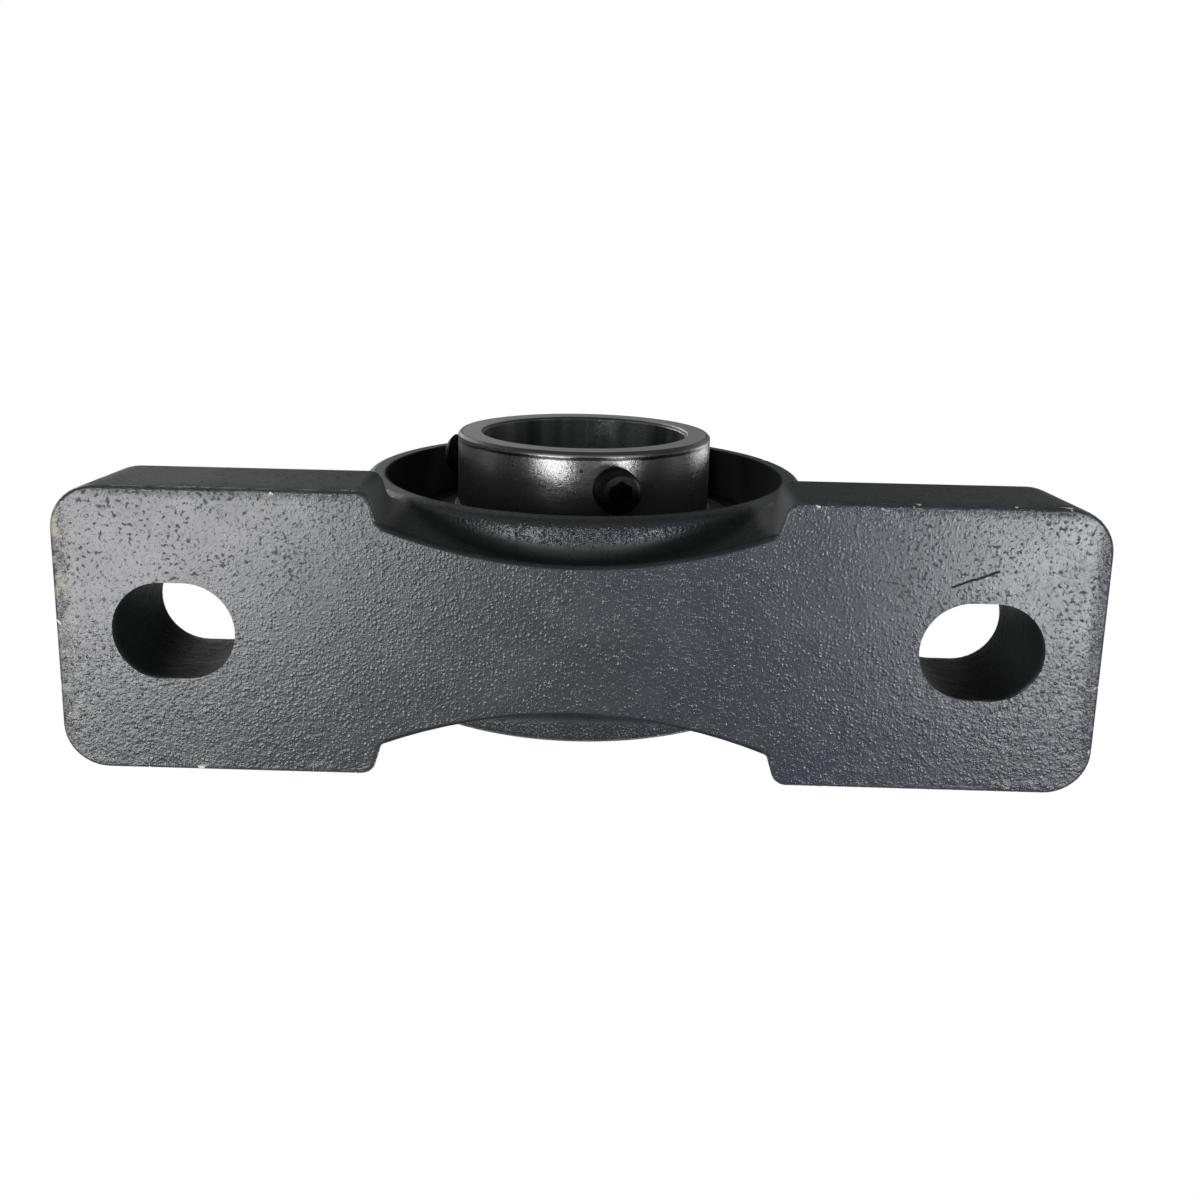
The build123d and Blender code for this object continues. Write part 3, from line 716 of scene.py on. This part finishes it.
FLOOR_HALF_SIZE = 2.5
FLOOR_GAP = 0.3 * MM
FLOOR_FADE_START = 0.35
FLOOR_FADE_END = 1.0
FLOOR_PAPER = (0.86, 0.86, 0.86, 1)
FLOOR_ROUGHNESS = 0.9
SOFT_STRENGTH = 0.45
GLOSS_AT_HORIZON = 0.6
GLOSS_OVERHEAD = 0.20
CAMERA_PLACE = (0.00384, -0.06992, -0.17760)
CAMERA_TURN = (170.702, -1.066, -1.180)  # degrees
CAMERA_SENSOR = 36.0  # millimetres, as the lens
CAMERA_LENS = 28.50
CAMERA_SHIFT_X = 0.0123
CAMERA_SHIFT_Y = -0.1352
CAMERA_NEAREST = 0.01


def floor_paper():
    """Pale paper that fades out far away and lets everything through from below."""
    material, shader = new_material("floor_paper")
    t = Tree(material.node_tree)
    shader.inputs["Base Color"].default_value = FLOOR_PAPER
    shader.inputs["Roughness"].default_value = FLOOR_ROUGHNESS
    x, y, _ = t.split(t.object_point())
    far = t.ramp(t.length(x, y), FLOOR_FADE_START, FLOOR_FADE_END)
    output = material.node_tree.get_output_node("ALL")
    choice = t.add("MixShader")
    t.put(t.larger(t.add("NewGeometry").outputs["Backfacing"], far), choice.inputs[0])
    t.put(shader.outputs[0], choice.inputs[1])
    t.put(t.add("BsdfTransparent").outputs[0], choice.inputs[2])
    t.put(choice.outputs[0], output.inputs["Surface"])
    return material


def make_floor():
    mesh = bpy.data.meshes.new("floor")
    form = bmesh.new()
    bmesh.ops.create_grid(form, x_segments=1, y_segments=1, size=FLOOR_HALF_SIZE)
    bmesh.ops.translate(form, verts=form.verts, vec=(0, 0, -FLOOR_GAP))
    form.to_mesh(mesh)
    form.free()
    mesh.materials.append(floor_paper())
    floor = bpy.data.objects.new("floor", mesh)
    scene.collection.objects.link(floor)
    # The floor gives no light back and no shade, so that it doesn't change the underside that rests on it.
    floor.visible_diffuse = False
    floor.visible_glossy = False
    floor.visible_transmission = False
    floor.visible_shadow = False


def make_world():
    """White where it is seen, brightest at the horizon in gloss, and soft and even elsewhere."""
    world = bpy.data.worlds.new("studio")
    scene.world = world
    world.use_nodes = True
    world.node_tree.nodes.clear()
    t = Tree(world.node_tree)
    rays = t.add("LightPath").outputs
    steepness = t.distance(t.split(t.add("TexCoord").outputs["Generated"])[2])

    def glow(strength):
        background = t.add("Background")
        background.inputs["Color"].default_value = (1, 1, 1, 1)
        t.put(strength, background.inputs["Strength"])
        return background.outputs[0]

    def choose(factor, otherwise, chosen):
        mix = t.add("MixShader")
        for source, socket in zip((factor, otherwise, chosen), mix.inputs):
            t.put(source, socket)
        return mix.outputs[0]

    in_gloss = glow(t.ramp(steepness, 0.03, 0.40, GLOSS_AT_HORIZON, GLOSS_OVERHEAD))
    unseen = choose(rays["Is Glossy Ray"], glow(SOFT_STRENGTH), in_gloss)
    seen = t.larger(rays["Is Camera Ray"], rays["Is Transmission Ray"])
    t.put(choose(seen, unseen, glow(1.0)), t.add("OutputWorld").inputs["Surface"])


def soft_lamp(name, place, target, size, power, colour=(1, 1, 1)):
    """Rectangular lamp that looks from its place at the target."""
    lamp = bpy.data.lights.new(name, "AREA")
    lamp.shape = "RECTANGLE"
    lamp.size, lamp.size_y = size
    lamp.energy = power
    lamp.color = colour
    holder = bpy.data.objects.new(name, lamp)
    scene.collection.objects.link(holder)
    holder.location = place
    holder.rotation_euler = (Vector(target) - Vector(place)).to_track_quat("-Z", "Y").to_euler()
    holder.visible_camera = False


def make_lamps():
    """Three soft lamps above, and four below that the underside and the ring mirror."""
    middle = (0, 0, 0.05)
    soft_lamp("key_above", (-0.9, -0.5, 1.2), middle, (0.9, 0.9), 9)
    soft_lamp("fill_above", (1.0, -0.1, 0.9), middle, (0.8, 0.8), 6)
    soft_lamp("back_above", (0.1, 1.0, 0.9), middle, (1.0, 0.6), 8)
    soft_lamp("below_left", (-0.405, 0.163, -0.60), (-0.06, 0, 0), (0.156, 0.55), 4.8, (1.0, 0.98, 1.0))
    soft_lamp("below_right", (0.43, 0.15, -0.60), (0.06, 0, 0), (0.22, 0.17), 3.1, (0.97, 0.98, 1.0))
    soft_lamp("below_ring", (-0.29, -0.12, -0.60), (-0.03, 0, 0), (0.20, 0.14), 0.75)
    soft_lamp("below_front", (0.0, -0.02, -0.60), (0, 0, 0), (0.90, 0.07), 0.2)


def make_camera():
    """Looks up at the underside from a little in front."""
    camera = bpy.data.objects.new("camera", bpy.data.cameras.new("camera"))
    scene.collection.objects.link(camera)
    camera.location = CAMERA_PLACE
    camera.rotation_euler = [math.radians(turn) for turn in CAMERA_TURN]
    camera.data.sensor_width = CAMERA_SENSOR
    camera.data.lens = CAMERA_LENS
    camera.data.shift_x = CAMERA_SHIFT_X
    camera.data.shift_y = CAMERA_SHIFT_Y
    camera.data.clip_start = CAMERA_NEAREST
    scene.camera = camera


make_floor()
make_world()
make_lamps()
make_camera()
scene.view_settings.view_transform = "Standard"
